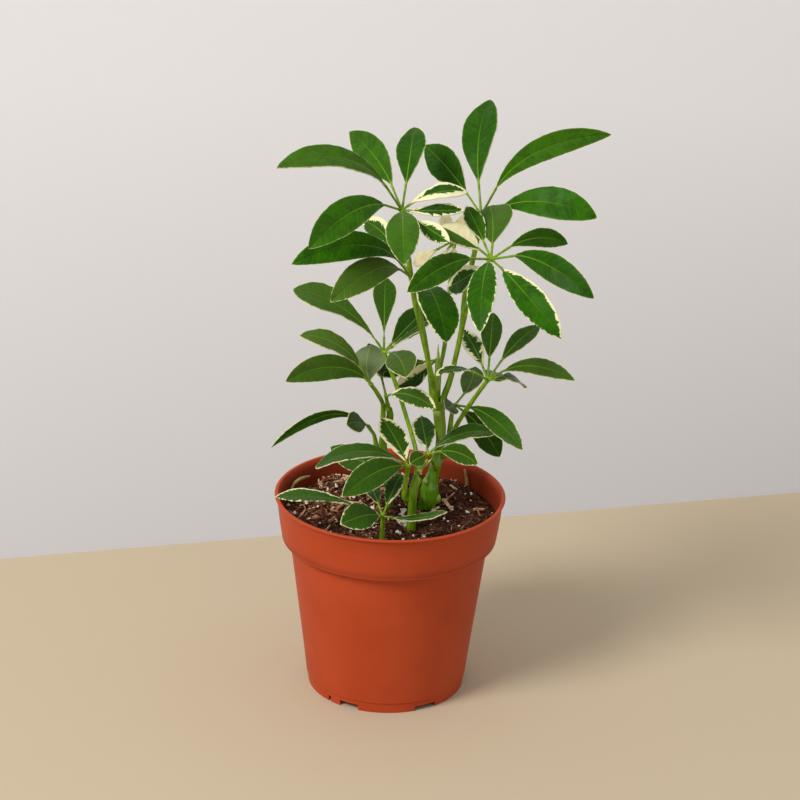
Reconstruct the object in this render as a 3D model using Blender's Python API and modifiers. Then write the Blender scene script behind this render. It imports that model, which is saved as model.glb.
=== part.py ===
"""A potted umbrella plant: a small variegated schefflera growing in a round plastic nursery pot.

Lengths below are in millimetres and angles in degrees. The origin is the centre of the pot's foot,
on the surface that the pot stands on: +X is right, +Y is back and +Z is up.
"""

from math import cos, pi, radians, sin

import bmesh
import bpy
from mathutils import Matrix, Vector

MM = 0.001
GAP = 0.3

# The pot: outer and inner profiles from the lip down, as (radius, height). A ledge under the band narrows both.
FLOOR_LOW = 3.2
FLOOR_TOP = 4.6
POT_OUTSIDE = [
    (53.0, 96.0), (53.7, 95.5), (53.4, 94.7), (52.5, 93.9), (51.9, 87.0), (51.1, 81.0), (50.1, 74.9),
    (49.2, 74.1), (46.9, 73.6), (46.2, 71.5), (44.7, 60.0), (42.2, 40.4), (39.4, 18.5), (37.9, 5.4),
    (37.4, 5.0), (36.9, 0.0),
]
POT_INSIDE = [
    (52.2, 95.9), (51.2, 93.0), (50.7, 87.0), (49.9, 81.0), (48.9, 75.7), (48.4, 75.2), (45.7, 74.7),
    (45.3, 74.1), (45.0, 71.5), (43.5, 60.0), (41.0, 40.4), (38.2, 18.5), (36.7, FLOOR_TOP),
]
FOOT_WIDTH = 1.4
PAD_RADIUS = 8.0
POT_SIDES = 48

# Notches in the foot: (heading, width, height). A drain hole sits just inside each of the wide ones.
NOTCHES = [(226, 1.6, 2.9), (243, 9.5, 2.9), (301, 11.0, 2.4), (0, 11.0, 2.4), (60, 11.0, 2.4),
           (120, 11.0, 2.4), (180, 11.0, 2.4)]
DRAIN_CIRCLE = 28.0
DRAIN_RADIUS = 3.0

# The soil: its edge height, and low swells of its surface as (x, y, spread, height).
SOIL_EDGE = 85.3
SOIL_SWELLS = [(26, 22, 20, 6.0), (-26, 28, 14, 3.0), (-30, -22, 16, 1.5), (14, -6, 12, 1.5), (28, -26, 14, 1.2)]
ROOT_DEPTH = 12.0

# Stems: (x, y, z, radius) from the buried end up.
STEMS = {
    "main_stem": [(15.4, 7, 73, 2.8), (15.8, 7, 84.0, 3.0), (17.6, 7, 89.5, 4.5), (18.5, 7, 94.6, 4.4),
                  (18.9, 7, 98.7, 3.6), (20.0, 7.3, 103.9, 2.7), (21.3, 8, 108.5, 2.9), (22.4, 8.8, 114, 2.4),
                  (22.9, 9, 121, 2.4), (21.9, 10, 130, 2.6), (21.3, 10, 136, 3.3), (21.2, 10, 139.5, 4.0)],
    "front_stem": [(10, -17, 73, 2.1), (10.1, -17, 85, 2.1), (10.3, -17, 95, 2.0), (10.3, -17, 103, 2.0),
                   (11.4, -15.8, 107.5, 2.1), (12.6, -14.4, 110.5, 2.2)],
    "back_stem": [(0, 8, 73, 1.8), (-0.4, 8, 88, 1.8), (-1.7, 8, 100, 1.8), (-3.4, 8, 112, 1.9),
                  (-4.0, 8, 119, 1.9), (-2.4, 8, 125, 1.7), (-1.0, 7, 131, 1.6), (-1.5, 5, 136, 1.5)],
    "seedling_stem": [(-3.1, -28, 73, 1.2), (-3.1, -28, 85, 1.2), (-3.0, -28, 92.6, 1.1)],
}

# Leaves. Each leaf is a stalk (its route to the hub, from a stem's top or side) with leaflets around a hub.
# "from": (stem, height, heading) on the stem's side, or a point on the stem's top.
# "lean": how far the ring of leaflets tips, and towards which heading.
# A leaflet is (turn, lift, stalk, length, width, droop, roll, sway): it starts at a turn about the leaf's axis and
# a lift from the ring's plane, droops and sways sideways along its length, and is rolled about its midline.
LEAVES = {
    "leaf_crown_left": {
        "from": (18.2, 10.5, 141.0), "stalk": 1.2,
        "route": [(16.6, 10, 154), (13.6, 9.5, 171), (9.9, 9, 188.3), (6.8, 9, 200), (4.6, 4.5, 216)],
        "hub": (2, -2, 234), "lean": (28, 270),
        "leaflets": [(182, 64, 17, 57, 14, 85, 0, 18), (107, -2, 17, 41, 14, 0, -37, 25),
                     (84, 12, 14, 38, 14, 26, -20, 3), (229, 46, 16, 51, 15, 75, -30, -4),
                     (271, 41, 7, 41, 15, 62, 7, 2), (15, 42, 3, 29, 13, 65, -14, -7),
                     (341, 20, 3, 26, 11, 17, -15, 19), (303, 20, 12, 24, 8, 17, 23, 14)],
    },
    "leaf_crown_right": {
        "from": (23.9, 11.1, 141.0), "stalk": 1.2,
        "route": [(26.6, 13, 150), (29.2, 15, 162), (31.0, 18, 173), (32, 20, 189), (35.5, 21, 207)],
        "hub": (38, 20, 226), "lean": (30, 285),
        "leaflets": [(101, 29, 15, 46, 18, 31, -36, -30), (358, 79, 18, 65, 11, 70, 48, 3),
                     (340, 50, 12, 48, 15, 60, 30, 0), (116, -4, 16, 35, 15, 0, -45, 14)],
    },
    "leaf_front_right": {
        "from": (23.5, 7.5, 141.0), "stalk": 1.1,
        "route": [(26.3, 6.2, 150), (28.8, 3.0, 166), (31, -1.5, 181), (33.2, -7, 196), (37, -13, 209)],
        "hub": (42, -16, 217), "lean": (32, 275),
        "leaflets": [(224, 39, 16, 43, 12, 52, -41, 1), (255, 41, 5, 47, 13, 72, 20, 18),
                     (289, 33, 14, 51, 13, 53, 15, 24), (307, 50, 21, 51, 12, 67, 40, 16),
                     (87, 7, 8, 29, 19, 40, -20, 8), (110, 4, 9, 23, 8, 10, 2, 0),
                     (156, 30, 6, 21, 12, 31, 1, -1), (166, -60, 8, 26, 13, -6, -26, -12),
                     (47, -8, 12, 37, 9, 32, 41, -35)],
    },
    "leaf_upper_left": {
        "from": (19.9, 7.2, 141.0), "stalk": 1.2,
        "route": [(17.8, 5, 152), (14.6, 3, 166), (11.6, 2, 179), (8.8, 2, 190)],
        "hub": (7, 3, 201), "lean": (30, 255),
        "leaflets": [(216, 71, 16, 61, 13, 85, -41, -14), (235, 61, 12, 49, 14, 80, -31, -14),
                     (297, 38, 15, 45, 19, 67, -30, -20), (113, -2, 20, 32, 10, 21, -24, 19)],
    },
    "leaf_cream_back": {
        "from": (20.9, 13.2, 141.0), "stalk": 1.0,
        "route": [(21.4, 17, 151), (23.4, 21, 162), (24.6, 26, 183)],
        "hub": (26.5, 28, 211), "lean": (8, 270),
        "leaflets": [(195, -25, 8, 14, 11, 15, 0, 0), (215, -42, 3, 10, 6, 25, 20, 0), (265, -45, 2, 9, 6, 20, -20, 0),
                     (55, 35, 2, 15, 10, 20, 0, 0), (125, 40, 4, 9, 7, 0, 0, 0)],
    },
    "leaf_mid_left": {
        "from": ("front_stem", 107, 80), "stalk": 1.0,
        "route": [(11.8, -8, 118), (9.4, -4, 126.5), (6.9, -1.5, 133.5), (4.4, 0, 141), (1.4, 1, 149.5)],
        "hub": (-4.5, 2, 165), "lean": (20, 250),
        "leaflets": [(150, 58, 5, 48, 17, 60, 3, 12), (90, 11, 8, 36, 11, -5, 5, -2),
                     (67, -10, 8, 34, 12, -10, 35, -12), (40, 5, 4, 28, 8, 7, -28, 4),
                     (300, 32, 7, 31, 14, 33, 7, -25)],
    },
    "leaf_low_left": {
        "from": ("back_stem", 130, 200), "stalk": 1.0,
        "route": [(-4.5, 3, 139), (-7.2, -2, 146.5)],
        "hub": (-10, -8, 153), "lean": (22, 250),
        "leaflets": [(104, -8, 3, 30, 18, 0, -4, -28), (206, 64, 4, 45, 12, 78, -60, 2),
                     (159, 68, 10, 34, 13, 78, 8, 9)],
    },
    "leaf_pair": {
        "from": (-2.2, 3.4, 138.2), "stalk": 0.9,
        "route": [(-2.6, 0.6, 141.5)],
        "hub": (-3, -2, 145), "lean": (20, 280),
        "leaflets": [(310, 48, 3, 33, 9, 50, 30, 7), (100, -2, 13, 24, 10, -9, 15, 12)],
    },
    "leaf_inner": {
        "from": ("main_stem", 133, 115), "stalk": 0.9,
        "route": [(19.6, 18, 142), (20.0, 19.5, 149)],
        "hub": (20, 20, 155), "lean": (20, 230),
        "leaflets": [(155, -40, 4, 26, 10, -8, -60, 10), (185, 5, 5, 24, 9, 20, -30, 0)],
    },
    "leaf_folded": {
        "from": ("back_stem", 116, 180), "stalk": 0.9,
        "route": [(-8.2, 9, 121)],
        "hub": (-11, 10, 125), "lean": (20, 220),
        "leaflets": [(237, 57, 8, 57, 5, 74, -85, -23), (255, 50, 3, 21, 10, 24, -70, -7)],
    },
    "leaf_fork": {
        "from": ("front_stem", 102, 185), "stalk": 1.1,
        "route": [(6.9, -18.5, 109)],
        "hub": (8, -20, 118), "lean": (25, 260),
        "leaflets": [(184, 51, 4, 44, 15, 85, 20, 14), (227, 45, 3, 42, 13, 57, -40, -1),
                     (159, -18, 6, 39, 12, -12, -36, -23), (109, 6, 3, 28, 13, 0, 19, 12)],
    },
    "leaf_stem_front": {
        "from": ("main_stem", 108, 265), "stalk": 0.9,
        "route": [(19.0, 0, 113), (18.0, -6, 117)],
        "hub": (17, -10, 120), "lean": (22, 280),
        "leaflets": [(5, 59, 3, 35, 14, 77, -17, 1), (315, 47, 9, 29, 9, 40, 65, -9),
                     (228, 24, 2, 11, 8, 30, -30, 0), (96, -11, 4, 28, 11, -2, -3, 0)],
    },
    "leaf_right": {
        "from": ("main_stem", 114, 320), "stalk": 1.1,
        "route": [(29.4, 2, 129), (35.8, -2, 142.5)],
        "hub": (43, -4, 155), "lean": (18, 290),
        "leaflets": [(321, 53, 11, 42, 8, 58, 45, 6), (62, 14, 13, 33, 9, 19, 4, -12),
                     (87, 7, 14, 31, 10, 0, -10, 0), (102, -1, 10, 30, 9, 3, -15, 12),
                     (222, 42, 13, 28, 8, 43, 15, 1), (319, 37, 3, 9, 4, 10, 10, 0),
                     (40, -15, 9, 21, 10, 40, 0, 0), (74, -24, 6, 20, 11, 10, 0, 0)],
    },
    "leaf_right_back": {
        "from": ("main_stem", 120, 20), "stalk": 1.0,
        "route": [(27.6, 11.6, 131)],
        "hub": (29, 12, 136), "lean": (20, 300),
        "leaflets": [(299, 35, 13, 42, 10, 50, 42, 11), (9, -36, 5, 34, 13, 21, 55, -18),
                     (255, 36, 3, 18, 9, 14, -30, -14), (68, -9, 12, 28, 11, -4, -14, 18)],
    },
    "leaf_seedling": {
        "from": (-3.0, -28.0, 93.2), "stalk": 0.9,
        "route": [(-3.0, -28, 94.6)],
        "hub": (-3, -28, 96.4), "lean": (12, 250),
        "leaflets": [(180, 33, 3, 48, 12, 40, 8, -2), (239, 40, 3, 29, 13, 36, -45, -14),
                     (103, 2, 9, 26, 8, 20, 3, 5), (76, 8, 7, 25, 9, 7, -9, -4),
                     (345, 0, 4, 27, 9, -26, -12, 8)],
    },
}
HUB_RADIUS = 1.7
LEAF_THICKNESS = 0.9
LEAF_FOLD = 0.18
BLADE_STEPS = 8

# Young shoots: (x, y, z) of the base, and each spike as (heading, lean, length, width).
SHOOTS = {
    "bud_cluster": ((13.4, -13.6, 113.6), [(40, 8, 6, 2.0), (150, 25, 5, 1.8), (250, 22, 5, 1.8), (340, 30, 7, 1.8)]),
    "top_shoot": ((21.1, 9.9, 140.6), [(170, 2, 26, 2.2), (250, 6, 20, 1.8)]),
}

GREEN = (0.03, 0.17, 0.02, 1)
DEEP_GREEN = (0.03, 0.11, 0.04, 1)
CREAM = (0.85, 0.80, 0.45, 1)
STALK_GREEN = (0.15, 0.38, 0.02, 1)
TERRACOTTA = (0.42, 0.07, 0.025, 1)
PEAT = (0.06, 0.03, 0.02, 1)


def finish(name, colour, roughness):
    material = bpy.data.materials.new(name)
    material.use_nodes = True
    shader = material.node_tree.nodes["Principled BSDF"]
    shader.inputs["Base Color"].default_value = colour
    shader.inputs["Roughness"].default_value = roughness
    return material


def new_collection(name):
    group = bpy.data.collections.new(name)
    bpy.context.scene.collection.children.link(group)
    return group


def new_object(name, mesh, group, material=None):
    body = bpy.data.objects.new(name, mesh)
    group.objects.link(body)
    if material:
        mesh.materials.append(material)
        mesh.shade_smooth()
        mesh.set_sharp_from_angle(angle=radians(35))
    return body


def as_cutter(body):
    body.hide_render = True
    body.display_type = "WIRE"
    return body


def mesh_of(bm, name):
    """The bmesh as a mesh in metres, closed and facing outwards."""
    bmesh.ops.recalc_face_normals(bm, faces=bm.faces)
    bmesh.ops.scale(bm, vec=Vector((MM, MM, MM)), verts=bm.verts)
    mesh = bpy.data.meshes.new(name)
    bm.to_mesh(mesh)
    bm.free()
    return mesh


def loft(name, steps, sides, place):
    """A grid wrapped round into a closed skin: place(along, around) gives a point, both from 0 to 1."""
    bm = bmesh.new()
    bmesh.ops.create_grid(bm, x_segments=steps, y_segments=sides, size=1.0)
    for v in bm.verts:
        v.co = place((v.co.x + 1) / 2, (v.co.y + 1) / 2)
    bmesh.ops.remove_doubles(bm, verts=bm.verts, dist=0.001)
    bmesh.ops.holes_fill(bm, edges=[e for e in bm.edges if e.is_boundary], sides=0)
    return mesh_of(bm, name)


def boolean(body, operation, cutter=None, cutters=None):
    modifier = body.modifiers.new(operation.lower(), "BOOLEAN")
    modifier.operation = operation
    if cutters:
        modifier.operand_type = "COLLECTION"
        modifier.collection = cutters
    else:
        modifier.object = cutter


def tube(name, points, group, material=None, resolution=3, roundness=1):
    """A round rod through (x, y, z, radius) points, as one closed mesh."""
    curve = bpy.data.curves.new(name, "CURVE")
    curve.dimensions = "3D"
    curve.resolution_u = resolution
    curve.bevel_depth = MM
    curve.bevel_resolution = roundness
    curve.use_fill_caps = True
    spline = curve.splines.new("BEZIER")
    spline.bezier_points.add(len(points) - 1)
    for knot, (x, y, z, radius) in zip(spline.bezier_points, points):
        knot.co = Vector((x, y, z)) * MM
        knot.radius = radius
        knot.handle_left_type = knot.handle_right_type = "AUTO"
    guide = bpy.data.objects.new(name + "_guide", curve)
    group.objects.link(guide)
    bpy.context.view_layer.update()
    mesh = bpy.data.meshes.new_from_object(guide.evaluated_get(bpy.context.evaluated_depsgraph_get()))
    bpy.data.objects.remove(guide)
    bm = bmesh.new()
    bm.from_mesh(mesh)
    bmesh.ops.remove_doubles(bm, verts=bm.verts, dist=1e-6)
    bmesh.ops.recalc_face_normals(bm, faces=bm.faces)
    bm.to_mesh(mesh)
    bm.free()
    mesh.name = name
    return new_object(name, mesh, group, material)


def ball(name, centre, radius, group, material=None):
    bm = bmesh.new()
    bmesh.ops.create_icosphere(bm, subdivisions=1, radius=radius, matrix=Matrix.Translation(centre))
    return new_object(name, mesh_of(bm, name), group, material)


def inner_radius(height):
    """The pot's inner radius at a height."""
    for (r_high, high), (r_low, low) in zip(POT_INSIDE, POT_INSIDE[1:]):
        if low <= height <= high:
            return r_low + (r_high - r_low) * (height - low) / (high - low)
    return POT_INSIDE[0][0]


def make_pot(parts, cutters):
    """The pot: one profile, from the middle of the floor up the inside and down the outside to the foot."""
    foot_inside = POT_OUTSIDE[-1][0] - FOOT_WIDTH
    inside = [(0.0, FLOOR_TOP)] + POT_INSIDE[::-1]
    foot = [(foot_inside, 0.0), (foot_inside, FLOOR_LOW), (PAD_RADIUS, FLOOR_LOW), (PAD_RADIUS, 0.0), (0.0, 0.0)]
    bm = bmesh.new()
    verts = [bm.verts.new((r * MM, 0, z * MM)) for r, z in inside + POT_OUTSIDE + foot]
    for a, b in zip(verts, verts[1:]):
        bm.edges.new((a, b))
    mesh = bpy.data.meshes.new("pot")
    bm.to_mesh(mesh)
    bm.free()
    pot = new_object("pot", mesh, parts, finish("terracotta_plastic", TERRACOTTA, 0.45))
    screw = pot.modifiers.new("turn", "SCREW")
    screw.steps = screw.render_steps = POT_SIDES
    screw.use_merge_vertices = True
    screw.merge_threshold = 1e-5
    for index, (heading, width, height) in enumerate(NOTCHES):
        boolean(pot, "DIFFERENCE", notch(index, heading, width, height, cutters))
        if width > 5:
            boolean(pot, "DIFFERENCE", drain_hole(index, heading, cutters))
    return pot


def notch(index, heading, width, height, cutters):
    """A box across the foot at a heading."""
    depth = 6.0
    bm = bmesh.new()
    bmesh.ops.create_cube(bm, size=1.0)
    bmesh.ops.scale(bm, vec=Vector((depth, width, height * 2)), verts=bm.verts)
    bmesh.ops.translate(bm, vec=Vector((POT_OUTSIDE[-1][0], 0, 0)), verts=bm.verts)
    bmesh.ops.rotate(bm, matrix=Matrix.Rotation(radians(heading), 3, "Z"), verts=bm.verts)
    return as_cutter(new_object(f"notch_{index}", mesh_of(bm, "notch"), cutters))


def drain_hole(index, heading, cutters):
    """A round hole through the floor beside a notch."""
    bm = bmesh.new()
    bmesh.ops.create_cone(bm, cap_ends=True, segments=12, radius1=DRAIN_RADIUS, radius2=DRAIN_RADIUS, depth=6.0)
    bmesh.ops.translate(bm, vec=Vector((DRAIN_CIRCLE, 0, FLOOR_LOW)), verts=bm.verts)
    bmesh.ops.rotate(bm, matrix=Matrix.Rotation(radians(heading), 3, "Z"), verts=bm.verts)
    return as_cutter(new_object(f"drain_{index}", mesh_of(bm, "drain"), cutters))


def soil_height(x, y):
    """The height of the soil's surface: a flat edge, low swells and fine lumps."""
    height = SOIL_EDGE
    for cx, cy, spread, rise in SOIL_SWELLS:
        distance = ((x - cx) ** 2 + (y - cy) ** 2) / spread**2
        height += rise * max(0.0, 1 - distance) ** 2
    return height + 0.5 * sin(x * 0.45) * cos(y * 0.5)


def make_soil(parts, cutters):
    """A plug of soil that follows the pot's wall, with a lumpy top and sockets for the stems."""
    low = FLOOR_TOP + GAP
    levels = [low, 18.5, 40.4, 60, 71.5, 74.4, 76.3, 81, SOIL_EDGE - 0.8]
    wall = [(inner_radius(z) - 2 * GAP, z) for z in levels]
    rings = [(0, low)] + wall + [(wall[-1][0] * k / 6, None) for k in (5.6, 4.8, 3.8, 2.8, 1.8, 0.9, 0)]

    def place(along, around):
        radius, z = rings[round(along * (len(rings) - 1))]
        angle = 2 * pi * around
        x, y = radius * cos(angle), radius * sin(angle)
        return Vector((x, y, soil_height(x, y) if z is None else z))

    soil = new_object("soil", loft("soil", len(rings) - 1, 36, place), parts, finish("potting_soil", PEAT, 0.95))
    for name, points in STEMS.items():
        x, y, z, radius = points[0]
        path = [(x, y, z - GAP, radius + 2 * GAP)]
        path += [(px, py, pz, pr + 2 * GAP) for px, py, pz, pr in points[1:] if pz < SOIL_EDGE + ROOT_DEPTH]
        boolean(soil, "DIFFERENCE", as_cutter(tube(name + "_socket", path, cutters)))
    return soil


def make_stems(parts):
    material = finish("stem_green", STALK_GREEN, 0.4)
    for name, points in STEMS.items():
        tube(name, points, parts, material, roundness=2)


def beside(stem, height, heading, radius):
    """A point at a stem's side, just clear of its bark."""
    points = STEMS[stem]
    for (x0, y0, z0, r0), (x1, y1, z1, r1) in zip(points, points[1:]):
        if z0 <= height <= z1:
            share = (height - z0) / (z1 - z0)
            reach = r0 + (r1 - r0) * share + radius + GAP + 0.2
            out = Vector((cos(radians(heading)), sin(radians(heading)), 0.0))
            return Vector((x0 + (x1 - x0) * share, y0 + (y1 - y0) * share, height)) + out * reach
    raise ValueError(f"{stem} has no bark at height {height}")


def leaf_axes(lean, toward):
    """The axis of a leaf's ring of leaflets, and the two directions across it that a turn starts from."""
    tip, way = radians(lean), radians(toward)
    axis = Vector((sin(tip) * cos(way), sin(tip) * sin(way), cos(tip)))
    first = Vector((1, 0, 0)) - axis * axis.x
    first.normalize()
    return axis, first, axis.cross(first)


def blade_width(along):
    """The outline of a blade, as a share of its width: narrow at the base, widest past the middle, blunt."""
    return max(0.03, sin(pi * along**1.3) ** 0.75) if 0 < along < 1 else 0.03


def leaflet_mesh(name, hub, axes, turn, lift, stalk, length, width, droop, roll, sway):
    """One leaflet with its small stalk: a thin keeled blade whose midline bends down along its length."""
    axis, first, second = axes

    def heading(share):
        """The midline's direction and the blade's side direction, a share of the way along."""
        way = radians(turn + sway * share)
        slope = radians(lift - droop * share)
        out = first * cos(way) + second * sin(way)
        ahead = out * cos(slope) + axis * sin(slope)
        return ahead, Matrix.Rotation(radians(roll), 3, ahead) @ axis.cross(out)

    here = hub + heading(0)[0] * stalk
    stations = [(hub, heading(0), 0.0), (here.copy(), heading(0), 0.0)]
    for step in range(BLADE_STEPS):
        frame = heading((step + 0.5) / BLADE_STEPS)
        here += frame[0] * (length / BLADE_STEPS)
        stations.append((here.copy(), frame, (step + 1) / BLADE_STEPS))

    def place(along, around):
        index = round(along * (BLADE_STEPS + 1))
        centre, (ahead, across), share = stations[index]
        up = ahead.cross(across)
        half = 0.55 if index < 2 else max(0.25, blade_width(share) * width / 2)
        rise = LEAF_FOLD * half if index > 1 else 0.0
        thick = LEAF_THICKNESS / 2
        corners = [across * half + up * rise, up * thick, across * -half + up * rise, up * -thick]
        return centre + corners[round(around * 4) % 4]

    return loft(name, BLADE_STEPS + 1, 4, place)


def make_leaf(name, leaf, parts, material):
    """A leaf: its stalk, hub and leaflets, joined into one body."""
    radius = leaf["stalk"]
    origin = leaf["from"]
    base = beside(*origin, radius) if isinstance(origin[0], str) else Vector(origin)
    route = [(*base, radius)] + [(x, y, z, radius) for x, y, z in leaf["route"]] + [(*leaf["hub"], radius)]
    body = tube(name, route, parts, material)
    pieces = bpy.data.collections.new(name + "_leaflets")
    bpy.context.scene.collection.children.link(pieces)
    hub = Vector(leaf["hub"])
    as_cutter(ball(name + "_hub", hub, HUB_RADIUS, pieces))
    axes = leaf_axes(*leaf["lean"])
    for index, spec in enumerate(leaf["leaflets"]):
        mesh = leaflet_mesh(f"{name}_{index}", hub, axes, *spec)
        as_cutter(new_object(mesh.name, mesh, pieces))
    boolean(body, "UNION", cutters=pieces)
    return body


def make_shoot(name, base, spikes, parts, material):
    """A tuft of young leaves, each a thin spike, joined at its foot."""
    body = ball(name, Vector(base), 1.1, parts, material)
    pieces = bpy.data.collections.new(name + "_spikes")
    bpy.context.scene.collection.children.link(pieces)
    for index, (heading, lean, length, width) in enumerate(spikes):
        bm = bmesh.new()
        bmesh.ops.create_cone(bm, cap_ends=True, segments=6, radius1=width / 2, radius2=0.25, depth=length)
        bmesh.ops.translate(bm, vec=Vector((0, 0, length / 2)), verts=bm.verts)
        bmesh.ops.rotate(bm, matrix=Matrix.Rotation(radians(lean), 3, "Y"), verts=bm.verts)
        bmesh.ops.rotate(bm, matrix=Matrix.Rotation(radians(heading), 3, "Z"), verts=bm.verts)
        bmesh.ops.translate(bm, vec=Vector(base), verts=bm.verts)
        as_cutter(new_object(f"{name}_{index}", mesh_of(bm, "spike"), pieces))
    boolean(body, "UNION", cutters=pieces)


def main():
    for old in list(bpy.data.objects):
        bpy.data.objects.remove(old)
    parts = new_collection("potted_umbrella_plant")
    cutters = new_collection("cutters")
    make_pot(parts, cutters)
    make_soil(parts, cutters)
    make_stems(parts)
    green = finish("leaf_green", GREEN, 0.35)
    cream = finish("leaf_cream", CREAM, 0.4)
    shoots = finish("young_green", STALK_GREEN, 0.4)
    for name, leaf in LEAVES.items():
        make_leaf(name, leaf, parts, cream if "cream" in name else green)
    for name, (base, spikes) in SHOOTS.items():
        make_shoot(name, base, spikes, parts, shoots)


main()
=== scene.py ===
"""The looks of a potted umbrella plant: a small variegated schefflera in a round plastic nursery pot.

Lengths are in millimetres and angles in degrees until a mesh is finished, which is then in metres.
The origin is the centre of the pot's foot: +X is right, +Y is back and +Z is up.
"""

import random
from math import cos, pi, radians, sin, sqrt

import bmesh
import bpy
from mathutils import Matrix, Vector, noise

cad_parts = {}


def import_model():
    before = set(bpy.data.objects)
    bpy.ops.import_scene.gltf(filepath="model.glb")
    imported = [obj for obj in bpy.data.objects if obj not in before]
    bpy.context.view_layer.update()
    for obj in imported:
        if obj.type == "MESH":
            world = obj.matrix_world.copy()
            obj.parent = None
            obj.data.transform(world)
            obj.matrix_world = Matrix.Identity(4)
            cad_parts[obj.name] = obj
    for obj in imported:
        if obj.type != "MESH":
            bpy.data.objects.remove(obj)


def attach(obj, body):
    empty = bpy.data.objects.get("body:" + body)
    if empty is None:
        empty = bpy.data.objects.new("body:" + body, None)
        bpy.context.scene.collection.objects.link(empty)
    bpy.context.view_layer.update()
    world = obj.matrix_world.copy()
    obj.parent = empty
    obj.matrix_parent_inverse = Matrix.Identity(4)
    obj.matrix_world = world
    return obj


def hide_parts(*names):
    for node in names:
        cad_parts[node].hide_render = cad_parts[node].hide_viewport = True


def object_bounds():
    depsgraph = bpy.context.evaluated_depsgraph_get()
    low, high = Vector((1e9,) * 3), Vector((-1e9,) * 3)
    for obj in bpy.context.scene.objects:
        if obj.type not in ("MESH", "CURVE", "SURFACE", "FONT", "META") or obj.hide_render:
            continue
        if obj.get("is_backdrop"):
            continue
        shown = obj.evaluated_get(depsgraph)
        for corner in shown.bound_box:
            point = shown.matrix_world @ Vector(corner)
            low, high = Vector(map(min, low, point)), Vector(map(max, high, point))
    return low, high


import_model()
CAD_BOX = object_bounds()
MM = 0.001

# ---------------------------------------------------------------- measures

# The pot: outer and inner profiles from the lip down, as (radius, height).
# A ledge under the band narrows both.
FLOOR_LOW = 3.2
FLOOR_TOP = 4.6
POT_OUTSIDE = [
    (53.0, 96.0), (53.5, 95.85), (53.75, 95.5), (53.7, 95.15), (53.3, 94.8), (52.75, 94.6), (52.5, 94.2),
    (51.9, 87.0), (51.1, 81.0), (50.15, 75.1), (50.0, 74.6), (49.6, 74.25), (49.1, 74.1), (47.1, 73.7),
    (46.6, 73.4), (46.4, 72.9), (46.2, 71.5), (44.7, 60.0), (42.2, 40.4), (39.4, 18.5), (38.0, 6.4),
    (37.9, 5.4), (37.4, 5.0), (36.9, 0.0),
]
POT_INSIDE = [
    (52.2, 95.9), (51.7, 95.3), (51.2, 93.0), (50.7, 87.0), (49.9, 81.0), (48.9, 75.7), (48.4, 75.2),
    (45.7, 74.7), (45.3, 74.1), (45.0, 71.5), (43.5, 60.0), (41.0, 40.4), (38.2, 18.5), (36.7, FLOOR_TOP),
]
FOOT_WIDTH = 1.4
PAD_RADIUS = 8.0
POT_SIDES = 160
NOTCHES = [(226, 1.6, 2.9), (243, 9.5, 2.9), (301, 11.0, 2.4), (0, 11.0, 2.4), (60, 11.0, 2.4),
           (120, 11.0, 2.4), (180, 11.0, 2.4)]
DRAIN_CIRCLE = 28.0
DRAIN_RADIUS = 3.0

# The soil: its edge height, how finely its surface is divided, and its low swells as (x, y, spread, height).
SOIL_EDGE = 85.3
SOIL_RINGS = 40
SOIL_SIDES = 160
SOIL_SWELLS = [(26, 22, 20, 6.0), (-26, 28, 14, 3.0), (-30, -22, 16, 1.5), (14, -6, 12, 1.5),
               (28, -26, 14, 1.2)]

# What is strewn on it. Bark: (count, shortest, longest, extra paleness, extra height).
CHIP_SIZES = [(3200, 0.8, 2.2, 0.0, 0.3), (1500, 1.6, 3.6, 0.1, 0.7), (420, 3.0, 6.0, 0.25, 1.2),
              (60, 5.0, 8.5, 0.5, 1.8)]
CHIP_SEED = 11
HANDFUL = 120
# Perlite: small grains at random places, each of one of these radii, and the biggest as (x, y, radius).
PERLITE_SEED = 5
SMALL_PERLITE = 95
SMALL_RADII = (0.35, 0.4, 0.5, 0.6, 0.9)
PERLITE = [(6.3, -3.4, 1.9), (6.9, -9.5, 1.3), (5.5, -13, 1.7), (30.8, 30.4, 1.5), (-18.1, 16.2, 1.6),
           (-26, 24, 1.3), (-30, 22, 1.0), (-45, -2, 1.2), (-24, -36, 1.2), (-19, -37, 1.0), (30, -34, 1.3),
           (34, -31, 0.9), (-8, 2, 1.4)]
# Two dry stalks on the wall, as (x, y, z, radius).
TWIGS = [[(-47.3, 16.5, 88.6, 0.4), (-45.4, 20.5, 90.4, 0.8), (-42.6, 25.0, 90.9, 0.9),
          (-38.8, 30.2, 90.0, 0.5)],
         [(37.0, 31.2, 85.0, 0.8), (36.2, 32.6, 90.0, 0.8), (35.2, 33.8, 94.2, 0.6)]]

# Stems: (x, y, z, radius) from the buried end up.
STEMS = {
    "main_stem": [(15.4, 7, 73, 2.8), (15.8, 7, 84.0, 3.0), (17.6, 7, 89.5, 4.5), (18.5, 7, 94.6, 4.4),
                  (18.9, 7, 98.7, 3.6), (20.0, 7.3, 103.9, 2.7), (21.3, 8, 108.5, 2.9), (22.4, 8.8, 114, 2.4),
                  (22.9, 9, 121, 2.4), (21.9, 10, 130, 2.6), (21.3, 10, 136, 3.3), (21.2, 10, 139.5, 4.0)],
    "front_stem": [(10, -17, 73, 2.1), (10.1, -17, 85, 2.1), (10.3, -17, 95, 2.0), (10.3, -17, 103, 2.0),
                   (11.4, -15.8, 107.5, 2.1), (12.6, -14.4, 110.5, 2.2)],
    "back_stem": [(0, 8, 73, 1.8), (-0.4, 8, 88, 1.8), (-1.7, 8, 100, 1.8), (-3.4, 8, 112, 1.9),
                  (-4.0, 8, 119, 1.9), (-2.4, 8, 125, 1.7), (-1.0, 7, 131, 1.6), (-1.5, 5, 136, 1.5)],
    "seedling_stem": [(-3.1, -28, 73, 1.2), (-3.1, -28, 85, 1.2), (-3.0, -28, 92.6, 1.1)],
}

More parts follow.
